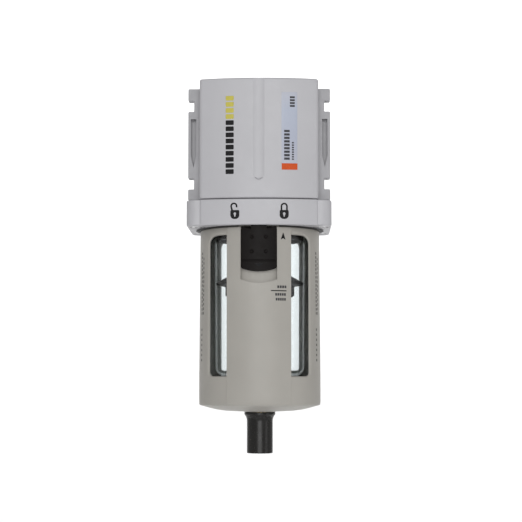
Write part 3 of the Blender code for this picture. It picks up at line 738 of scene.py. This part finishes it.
def guard_angles():
    """Even steps, with extra ones at the panels' edges."""
    edge = math.degrees(math.asin(PANEL_HALF_WIDTH / 22.8))
    angles = {float(a) for a in range(0, 360, 3)}
    for middle in (90, 270):
        for side in (-1, 1):
            near = middle + side * edge
            angles = {a for a in angles if abs(a - near) > 1.6}
            angles |= {near + d for d in (-1.5, -0.6, -0.36, -0.18, 0.0, 0.18, 0.36, 0.6, 1.5)}
    return sorted(angles)


def window_outline(side, rim=0.0):
    """One window's (x, z) outline; its outer corners are round."""
    inner, outer = PANEL_HALF_WIDTH - 0.05 + rim * 0.02, WINDOW_OUTER_X + rim
    top, bottom = WINDOW_TOP + rim, WINDOW_BOTTOM - rim * 0.4
    corner, low_corner = 3.0 + rim, 1.2 + rim * 0.5
    outline = arc((outer - corner, top - corner), corner, 90, 0, 10)
    outline += arc((outer - low_corner, bottom + low_corner), low_corner, 0, -90, 6)
    start, end = outline[0], outline[-1]
    outline += [(end[0] + (inner - end[0]) * k / 6, bottom) for k in range(1, 7)]
    outline += [(inner + (start[0] - inner) * k / 4, top) for k in range(0, 4)]
    return [(side * x, z) for x, z in outline]


def window_cutter(side, face):
    """Cuts straight through the wall, with a soft bevel where it meets the outside."""
    levels = ((-3.7, 0.0), (-0.62, 0.0), (-0.5, 0.06), (-0.34, 0.26), (-0.15, 0.62), (0.0, 0.98))
    levels += ((0.12, 1.35), (0.8, 2.2), (4.5, 2.2))
    rows = []
    for offset, rim in levels:
        row = []
        for x, z in window_outline(side, rim):
            radius = guard_base(z) + offset
            row.append((x, face * math.sqrt(radius**2 - x**2), z))
        rows.append(row)
    obj = skin("window", rows)
    shape = bmesh.new()
    shape.from_mesh(obj.data)
    bmesh.ops.triangulate(shape, faces=[f for f in shape.faces if len(f.verts) > 4])
    shape.to_mesh(obj.data)
    shape.free()
    return obj


def button_outline(half_width, top, bottom, corner=0.0):
    lean = math.degrees(math.asin(half_width / BUTTON_ARC))
    low = arc((0, bottom + BUTTON_ARC), BUTTON_ARC, -90 + lean, -90 - lean, 24)
    points = [(-half_width, top), (half_width, top)]
    if corner:
        low[0] = (*low[0], corner)
        low[-1] = (*low[-1], corner)
    return rounded(points + low, 3)


def make_guard():
    outside = [(22.0, -23.8, 0.3), (22.0, GUARD_TOP), (GUARD_RADIUS_TOP, GUARD_TOP, 0.25)]
    outside += [(GUARD_RADIUS_LOW, GUARD_SLOPE_END), (GUARD_RADIUS_LOW, -94.0)]
    outside += [(GUARD_RADIUS_LOW, -95.7), (22.98, -96.3), (22.8, -96.9, 0.4)]
    dish = [(21.6, -97.25), (20.3, -97.6), (18.5, -98.1), (16.0, -98.65), (13.0, -99.05)]
    dish += [(9.0, -99.25), (6.3, -99.28), (6.0, -99.5, 0.1), (4.6, -99.5, 0.1)]
    inside = [(4.6, -97.6), (9.0, -97.55), (13.0, -97.3), (17.0, -96.4), (19.0, -95.5)]
    inside += [(20.3, -94.4), (20.9, -92.5), (20.4, -34.0), (20.4, -23.8)]
    profile = rounded(outside + dish + inside, 4)
    guard = turned("slotted_guard", profile, guard_angles(), shape=guard_shape)
    for angle in LUG_ANGLES:
        join(guard, sector("lug", 21.2, LUG_GROOVE_RADIUS - 0.4, angle, LUG_HALF_ANGLE, -27.3, -24.1))
    for side in (-1, 1):
        for face in (-1, 1):
            cut(guard, window_cutter(side, face))
    pocket = slab("pocket", button_outline(6.68, -20, POCKET_BOTTOM), -40, -5)
    floor = [(34, -30.3), (34, -60), (POCKET_FLOOR, -60), (POCKET_FLOOR, -30.3)]
    keep_inside(pocket, turned("floor", floor, 288))
    edge = slab("pocket_edge", button_outline(6.78, -20, POCKET_BOTTOM - 0.1), -40, -5)
    edge_depth = [(34, -30.3), (34, -60), (22.78, -60), (22.78, -30.3)]
    keep_inside(edge, turned("edge_depth", edge_depth, 288))
    rails = block("rails", (-7.4, -30, -50.5), (7.4, -5, -30.6))
    rail_depth = [(22.1, -20), (22.1, -60), (21.45, -60), (21.45, -20)]
    keep_inside(rails, turned("rail_depth", rail_depth, 288))
    slot = block("slot", (-1.5, -30, -47.2), (1.5, -15, -33.2))
    cut(guard, pocket, edge, rails, slot)
    return finish(guard, GUARD_GREY, "bowl_assembly", ["bowl_guard"])


def make_bowl():
    outside = [(20.0, -12.8, 0.5), (20.0, -15.4, 0.15), (18.4, -15.4, 0.3), (18.4, -18.2, 0.3)]
    outside += [(20.0, -18.2, 0.15), (20.0, -21.6, 0.2), (21.9, -21.6, 0.3), (21.9, -23.5, 0.2)]
    outside += [(20.0, -23.5, 0.2), (20.0, -34.0)]
    outside += arc((12.4, -82.6), 7.0, 0, -75, 14)
    outside += [(12.0, -90.6), (9.0, -91.6), (4.5, -91.8)]
    inside = [(4.5, -88.9), (9.0, -88.6)]
    inside += arc((12.4, -82.6), 4.5, -70, 0, 12)
    inside += [(17.3, -33.0), (17.3, -12.8, 0.4)]
    bowl = turned("clear_bowl_shell", rounded(outside + inside, 4), 192)
    return finish(bowl, CLEAR, "bowl_assembly", ["bowl"], sharp=50)


# ---------------------------------------------------------------- insert


def make_deflector():
    skirt = rounded([(16.6, -13.6, 0.2), (16.6, -35.0, 0.25), (15.3, -35.0, 0.25), (15.3, -13.6)])
    deflector = turned("swirl_deflector_ring", skirt, 128)
    hub = turned(
        "hub", [(12.6, -13.5), (12.6, -20.0), (11.5, -20.0), (11.5, -14.6), (7.7, -14.6), (7.7, -13.5)], 96
    )
    for index in range(8):
        blade = block("blade", (12.1, -0.55, -3.4), (15.9, 0.55, 3.4))
        moved(blade, (0, 0, -16.9), (35, "X"))
        join(hub, moved(blade, rotation=(360 * index / 8, "Z")))
    join(deflector, hub)
    return finish(deflector, BLACK, "filter_head", ["swirl_deflector"])


def make_element():
    """A fibre tube, drawn in slightly by its moulding so that its surface is not quite even."""
    draw = random.Random(7)
    bumps = [(draw.uniform(0, 360), draw.uniform(-46, -16), draw.uniform(-0.12, 0.06)) for _ in range(60)]

    def shape(radius, z, angle):
        if radius < 10.5:
            return radius
        change = 0.0
        for at, level, depth in bumps:
            away = min(abs(angle - at), 360 - abs(angle - at)) / 14
            up = (z - level) / 2.5
            change += depth * math.exp(-away * away - up * up)
        return radius - 0.12 + change

    profile = [(10.4, -14.95), (10.9, -15.2)]
    profile += [(11.0, -15.6 - 30.2 * k / 32) for k in range(33)]
    profile += [(10.9, -46.2), (10.4, -46.45), (7.3, -46.45), (7.3, -14.95)]
    element = turned("fibre_element", profile, 96, shape=shape)
    return finish(element, FIBRE, "filter_head", ["filter_element"])


def make_baffle():
    profile = [(11.6, -47.9, 0.3), (16.4, -50.75), (16.7, -51.1, 0.15), (16.3, -51.6), (13.6, -52.0, 0.3)]
    profile += [(12.7, -52.6, 0.3), (12.7, -56.0, 0.2), (11.6, -56.0, 0.2), (11.6, -52.2), (2.3, -52.2)]
    profile += [(2.3, -47.9)]
    baffle = turned("skirted_baffle", rounded(profile), 144)
    for index in range(12):
        rib = block("rib", (12.3, -0.35, -55.6), (13.15, 0.35, -52.1))
        join(baffle, moved(rib, rotation=(30 * index, "Z")))
    return finish(baffle, BLACK, "filter_head", ["baffle"])


def make_stud():
    profile = [(0, 13.8), (1.7, 13.8), (2.0, 13.4), (2.0, -53.5), (0, -53.5)]
    stud = turned("element_stud_bolt", profile, 40, closed=False)
    head = prism("head", lambda inset: hexagon(8.0, inset), -55.4, -52.5, 0.3, 0.1, 3)
    join(stud, head)
    return finish(stud, STEEL, "filter_head", ["element_stud"])


# ---------------------------------------------------------------- button


def make_button():
    """A shell with softened rims, a finger groove, four grip dimples and a pressed triangle."""
    groove = -43.7
    face = [(20.5, -29), (BUTTON_FACE, -29), (BUTTON_FACE, groove + 0.35)]
    face += [(BUTTON_FACE - 0.3, groove + 0.12), (BUTTON_FACE - 0.3, groove - 0.12)]
    face += [(BUTTON_FACE - 0.06, groove - 0.35), (BUTTON_FACE - 0.2, -49.0), (20.5, -49.0)]
    button = turned("lock_slide_button", face, 288)
    levels = [(-3.5, 0.0), (-0.3, 0.0), (-0.12, 0.06), (0.0, 0.2), (0.14, 0.55), (1.2, 3.0)]
    rows = []
    for offset, inset in levels:
        radius = BUTTON_FACE + offset
        outline = button_outline(6.45 - inset, -31.0 - inset, BUTTON_BOTTOM + inset, 0.5)
        rows.append([(x, -math.sqrt(radius**2 - x**2), z) for x, z in outline])
    keep_inside(button, skin("button_sides", rows))
    cut(button, turned("hollow", [(0, -20), (21.8, -20), (21.8, -50), (0, -50)], 288, closed=False))
    cut(button, block("channel", (-1.25, -22.75, -49.5), (1.25, -15, -35.3)))
    for x in (-2.65, 2.65):
        for z in (-35.0, -40.4):
            ball = turned("dimple", arc((0, 0), 1.0, 90, -90, 16), 40, closed=False)
            cut(button, moved(ball, (x, -math.sqrt(BUTTON_FACE**2 - x**2) - 0.62, z)))
    triangle = [(-1.6, -44.75), (1.6, -44.75), (0.2, -45.95), (-0.2, -45.95)]
    cut(button, slab("triangle", triangle, -40, -(BUTTON_FACE - 0.55)))
    tab = sector("tab", 22.6, 23.4, 0, TAB_HALF_ANGLE, -33.0, -28.4)
    rails = block("button_rails", (-7.1, -30, -46.0), (7.1, -5, -32.0))
    depth = [(21.9, -20), (21.9, -60), (21.7, -60), (21.7, -20)]
    keep_inside(rails, turned("rail_depth", depth, 216))
    rib = block("rib", (-1.2, -22.3, -35.4), (1.2, -20.7, -33.9))
    join(button, rails, tab, rib)
    arrow = slab("press_arrow", triangle, -(BUTTON_FACE - 0.35), -(BUTTON_FACE - 0.6))
    finish(arrow, BLACK_INK, "lock_button")
    return finish(button, BLACK, "lock_button", ["lock_button"], sharp=28)


def make_spring():
    """The return spring, wound closer at both ends."""
    curve = bpy.data.curves.new("lock_return_spring", "CURVE")
    curve.dimensions = "3D"
    curve.bevel_depth = 0.15 * MM
    curve.bevel_resolution = 4
    curve.use_fill_caps = True
    spline = curve.splines.new("POLY")
    low, high, turns, count = -46.8, -35.8, 9, 216
    spline.points.add(count)
    for index, point in enumerate(spline.points):
        share = index / count
        climb = share - math.sin(2 * math.pi * share) * 0.085
        turn = 2 * math.pi * turns * share
        point.co = (
            0.8 * math.cos(turn) * MM,
            (-21.55 + 0.8 * math.sin(turn)) * MM,
            (low + (high - low) * climb) * MM,
            1,
        )
    wire = new_object("spring_wire", curve)
    graph = bpy.context.evaluated_depsgraph_get()
    mesh = bpy.data.meshes.new_from_object(wire.evaluated_get(graph))
    bpy.data.objects.remove(wire, do_unlink=True)
    spring = new_object("lock_return_spring", mesh)
    finish(spring, STEEL, "bowl_assembly", ["lock_spring"], sharp=60)
    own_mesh(spring)
    return spring


# ---------------------------------------------------------------- drain


def make_drain():
    bush = [(6.4, -86.4, 0.3), (6.4, -87.4, 0.2), (4.0, -87.6), (4.0, -103.5, 0.3), (3.1, -103.5)]
    bush += [(3.1, -98.3), (2.4, -97.6), (2.4, -86.4, 0.3)]
    finish(
        turned("threaded_drain_bush", rounded(bush), 72), BRASS, "bowl_assembly", ["drain_bush"]
    )
    nut = prism("drain_hex_nut", lambda inset: hexagon(11.0, inset), -94.9, -92.2, 0.35, 0.35)
    cut(nut, turned("nut_bore", [(0, -90), (4.3, -90), (4.3, -97), (0, -97)], 64, closed=False))
    finish(nut, BRASS, "bowl_assembly", ["drain_nut"])
    stem = [(0, -88.2), (1.0, -88.5), (1.1, -97.6), (1.75, -98.7), (2.75, -98.8), (2.75, -104.4)]
    stem += [(3.8, -104.4), (3.8, -105.3), (0, -105.3)]
    stem = turned("drain_valve_stem", stem, 64, closed=False)
    for index in range(4):
        angle = math.radians(90 * index + 45)
        flute = turned("flute", [(0, -99.6), (1.15, -99.6), (1.15, -107), (0, -107)], 24, closed=False)
        cut(stem, moved(flute, (2.75 * math.cos(angle), 2.75 * math.sin(angle), 0)))
    finish(stem, BRASS, "drain_valve", ["drain_stem"])

    flare = arc((8.55, KNOB_TOP - 3.35), 3.65, 137, 180, 8)
    knob = [(5.7, KNOB_TOP, 0.2), (5.9, KNOB_TOP - 0.3, 0.15), (5.87, KNOB_TOP - 0.75)] + flare
    knob += [(4.9, KNOB_BOTTOM, 0.35), (3.2, KNOB_BOTTOM, 0.3)]
    knob += [(3.2, -105.6), (4.3, -105.6), (4.3, KNOB_TOP)]
    knob = turned("twist_drain_knob", rounded(knob), 96)
    finish(knob, KNOB_BLACK, "drain_knob", ["drain_knob"])


# ---------------------------------------------------------------- printed marks


def bowed_place(crown):
    """Puts a mark's (x, z) on the bowed front of the housing or the ring."""

    def place(x, z, lift):
        return (x, -(crown - BOW_RADIUS + math.sqrt(BOW_RADIUS**2 - x * x)) - lift, z)

    return place


def guard_place(middle, proud):
    """Wraps a mark's (x, z) round the guard, about a middle angle in degrees from the front."""

    def place(x, z, lift):
        radius = guard_base(z) + proud
        angle = math.radians(middle) + x / radius
        radius += lift
        return (radius * math.sin(angle), -radius * math.cos(angle), z)

    return place


def printed(name, outlines, place, material, body, slot, lift=0.015):
    """A thin film in the shape of (x, z) outlines on a curved face. Inner outlines are holes."""
    curve = bpy.data.curves.new(name, "CURVE")
    curve.dimensions = "2D"
    curve.fill_mode = "BOTH"
    for outline in outlines:
        spline = curve.splines.new("POLY")
        spline.points.add(len(outline) - 1)
        for point, (x, z) in zip(spline.points, outline):
            point.co = (x * MM, z * MM, 0, 1)
        spline.use_cyclic_u = True
    drawn = new_object(name, curve)
    graph = bpy.context.evaluated_depsgraph_get()
    mesh = bpy.data.meshes.new_from_object(drawn.evaluated_get(graph))
    bpy.data.objects.remove(drawn, do_unlink=True)
    shape = bmesh.new()
    shape.from_mesh(mesh)
    bmesh.ops.remove_doubles(shape, verts=shape.verts, dist=0.0000005)
    xs = [v.co.x / MM for v in shape.verts]
    step = 0.6
    for k in range(math.ceil(min(xs) / step), math.floor(max(xs) / step) + 1):
        geometry = list(shape.verts) + list(shape.edges) + list(shape.faces)
        line = (k * step * MM, 0, 0)
        bmesh.ops.bisect_plane(shape, geom=geometry, dist=1e-7, plane_co=line, plane_no=(1, 0, 0))
    for vert in shape.verts:
        vert.co = Vector(place(vert.co.x / MM, vert.co.y / MM, lift)) * MM
    bmesh.ops.recalc_face_normals(shape, faces=shape.faces)
    from_axis = Vector((1, 1, 0))
    outward = [f.normal.dot(f.calc_center_median() * from_axis) * f.calc_area() for f in shape.faces]
    if sum(outward) < 0:
        bmesh.ops.reverse_faces(shape, faces=shape.faces)
    shape.to_mesh(mesh)
    shape.free()
    obj = new_object(name, mesh)
    film = obj.modifiers.new("film", "SOLIDIFY")
    film.thickness = 0.02 * MM
    film.offset = 1.0
    return finish(obj, material, body)


def bar(x0, x1, z0, z1, corner=0.0):
    if not corner:
        return [(x0, z0), (x1, z0), (x1, z1), (x0, z1)]
    points = [(x0, z0, corner), (x1, z0, corner), (x1, z1, corner), (x0, z1, corner)]
    return rounded(points, 4)


def bars_up(x0, x1, z, pitch, height, count, corner=0.08):
    """A column of short bars, in place of a line of small upright lettering."""
    return [bar(x0, x1, z + pitch * k, z + pitch * k + height, corner) for k in range(count)]


def bars_along(x, z, width, gap, height, count):
    """A row of short bars, in place of a small word."""
    step = width + gap
    return [bar(x + step * k, x + step * k + width, z, z + height, 0.06) for k in range(count)]


def padlock(x, z, closed):
    """(body outline, keyhole, shackle) of a padlock whose underside is at z."""
    body = [(x - 1.65, z, 1.45), (x + 1.65, z, 1.45), (x + 1.65, z + 3.3, 0.45), (x - 1.65, z + 3.3, 0.45)]
    keyhole = arc((x, z + 1.95), 0.5, -55, 235, 14) + [(x - 0.2, z + 0.85), (x + 0.2, z + 0.85)]
    outer, inner, foot = 1.3, 0.72, z + 3.2
    if closed:
        top = z + 4.65
        shackle = arc((x, top), outer, 0, 180, 18) + [(x - outer, foot), (x - inner, foot)]
        shackle += arc((x, top), inner, 180, 0, 18) + [(x + inner, foot), (x + outer, foot)]
    else:
        centre = (x - 0.35, z + 4.75)
        shackle = arc(centre, outer, -25, 190, 20)
        shackle += [(x - 1.35, foot), (x - 0.7, foot)]
        shackle += arc(centre, inner, 195, -25, 20)
    return rounded(body, 6), keyhole, shackle


def make_marks():
    """Generic marks only: a two-colour stripe, a label, padlocks, an arrow and a level line."""
    head = ("filter_head", "die_cast")
    housing, ring = bowed_place(HOUSING_CROWN), bowed_place(RING_CROWN)
    left, right = -12.2, -9.2
    printed("stripe_black", bars_up(left, right, -11.9, 2.27, 1.75, 9, 0.3), housing, BLACK_INK, *head)
    printed("stripe_yellow", bars_up(left, right, 8.53, 2.27, 1.75, 4, 0.3), housing, YELLOW_INK, *head)

    printed("label", [bar(8.4, 14.2, -7.95, 18.5, 0.2)], housing, LABEL, *head, 0.02)
    lines = bars_up(9.35, 11.4, -6.7, 1.28, 0.85, 9)
    lines += bars_up(11.5, 13.3, 12.95, 1.08, 0.72, 4)
    lines += bars_up(12.2, 12.95, -6.7, 0.87, 0.52, 8, 0.05)
    printed("label_lines", lines, housing, GREY_INK, *head, 0.045)
    printed("orange_block", [bar(8.45, 14.25, -10.35, -8.0)], housing, ORANGE_INK, *head, 0.02)

    for x, closed in ((-8.75, False), (9.35, True)):
        name = "padlock_closed" if closed else "padlock_open"
        body, keyhole, shackle = padlock(x, -28.6, closed)
        printed(name + "_body", [body, keyhole], ring, BLACK_INK, *head)
        printed(name + "_shackle", [shackle], ring, BLACK_INK, *head)

    guard = ("bowl_assembly", "guard_grey")
    panel = guard_place(0, PANEL_PROUD)
    x, z = 9.2, -33.2
    arrow = [(x, z), (x + 0.95, z - 2.7), (x, z - 2.15), (x - 0.95, z - 2.7)]
    printed("arrow", [arrow], panel, BLACK_INK, *guard)
    printed("level_line", [bar(4.5, 10.5, -54.95, -54.6)], panel, BLACK_INK, *guard)
    words = bars_along(6.9, -53.8, 0.72, 0.22, 0.95, 4)
    words += bars_along(6.1, -56.6, 0.66, 0.2, 0.95, 5)
    words += bars_along(6.3, -58.4, 0.62, 0.2, 0.95, 5)
    printed("level_words", words, panel, GREY_INK, *guard)
    for side in (-1, 1):
        flank = guard_place(70 * side, 0.0)
        lines = bars_up(-0.9, 0.1, -63.0, 1.5, 0.95, 16, 0.1) + bars_up(-0.9, 0.1, -80.5, 1.9, 0.9, 7, 0.1)
        lines += bars_up(0.9, 1.7, -63.0, 1.7, 1.0, 13, 0.1)
        name = "flank_lines_left" if side < 0 else "flank_lines_right"
        printed(name, lines, flank, FAINT_INK, *guard)


# ---------------------------------------------------------------- CAD nodes that stay


def dress_kept_nodes():
    seals = ("bowl_o_ring", "element_gasket_upper", "element_gasket_lower")
    seals += ("drain_bush_seal", "drain_stem_seal")
    for name in seals:
        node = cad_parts[name]
        node.data.materials.clear()
        node.data.materials.append(RUBBER)
        node.data.shade_smooth()


# ---------------------------------------------------------------- stage


def make_stage():
    """A pale floor that curves up into a backdrop, well below and behind the filter."""
    width, front, back, low, high, bend = 1.3, -1.6, 1.5, -0.62, 1.6, 0.5
    profile = [(front, low)]
    profile += [
        (back - bend + bend * math.sin(a), low + bend - bend * math.cos(a))
        for a in (math.radians(90 * k / 12) for k in range(13))
    ]
    profile += [(back, high)]
    mesh = bpy.data.meshes.new("pale_floor")
    shape = bmesh.new()
    rows = [[shape.verts.new((x, y, z)) for x in (-width, width)] for y, z in profile]
    for a, b in zip(rows, rows[1:]):
        shape.faces.new((a[0], a[1], b[1], b[0]))
    shape.to_mesh(mesh)
    shape.free()
    mesh.shade_smooth()
    mesh.materials.append(make_stage_paint())
    new_object("pale_floor", mesh)

    world = bpy.data.worlds.new("studio")
    bpy.context.scene.world = world
    world.use_nodes = True
    background = world.node_tree.nodes["Background"]
    background.inputs["Color"].default_value = (1.0, 1.0, 1.0, 1.0)
    background.inputs["Strength"].default_value = 0.44

    def soft_box(name, place, aim, size, power):
        light = bpy.data.lights.new(name, "AREA")
        light.shape = "RECTANGLE"
        light.size, light.size_y = size
        light.energy = power
        obj = new_object(name, light)
        obj.location = place
        obj.rotation_euler = (Vector(aim) - Vector(place)).to_track_quat("-Z", "Y").to_euler()
        return obj

    centre = (0, 0, -0.045)
    soft_box("key_front", (0.02, -1.28, 0.16), centre, (0.8, 0.8), 6.7)
    soft_box("fill_right", (1.1, -0.6, 0.0), centre, (0.4, 0.8), 0.9)
    soft_box("back_wash", (0.0, 0.55, 0.95), (0, 1.5, 0.5), (2.0, 0.6), 20.0)


def make_camera():
    """Level with the lower part of the guard and looking slightly up, a little to the right."""
    distance, height, turn, pitch = 0.600, -0.08684, 1.0, 0.0643
    data = bpy.data.cameras.new("camera")
    data.lens = 108.8
    data.sensor_width = 36.0
    data.shift_x = 0.0022
    data.shift_y = 0.03
    camera = new_object("camera", data)
    a = math.radians(turn)
    camera.location = (distance * math.sin(a), -distance * math.cos(a), height)
    camera.rotation_euler = (math.radians(90) + pitch, 0, a)
    bpy.context.scene.camera = camera


def main():
    make_camera()
    make_housing()
    make_ring()
    make_screws()
    make_dust_seal()
    make_guard()
    make_bowl()
    make_deflector()
    make_element()
    make_baffle()
    make_stud()
    make_button()
    make_spring()
    make_drain()
    make_marks()
    dress_kept_nodes()
    make_stage()
    bpy.context.scene.view_settings.view_transform = "Standard"


main()
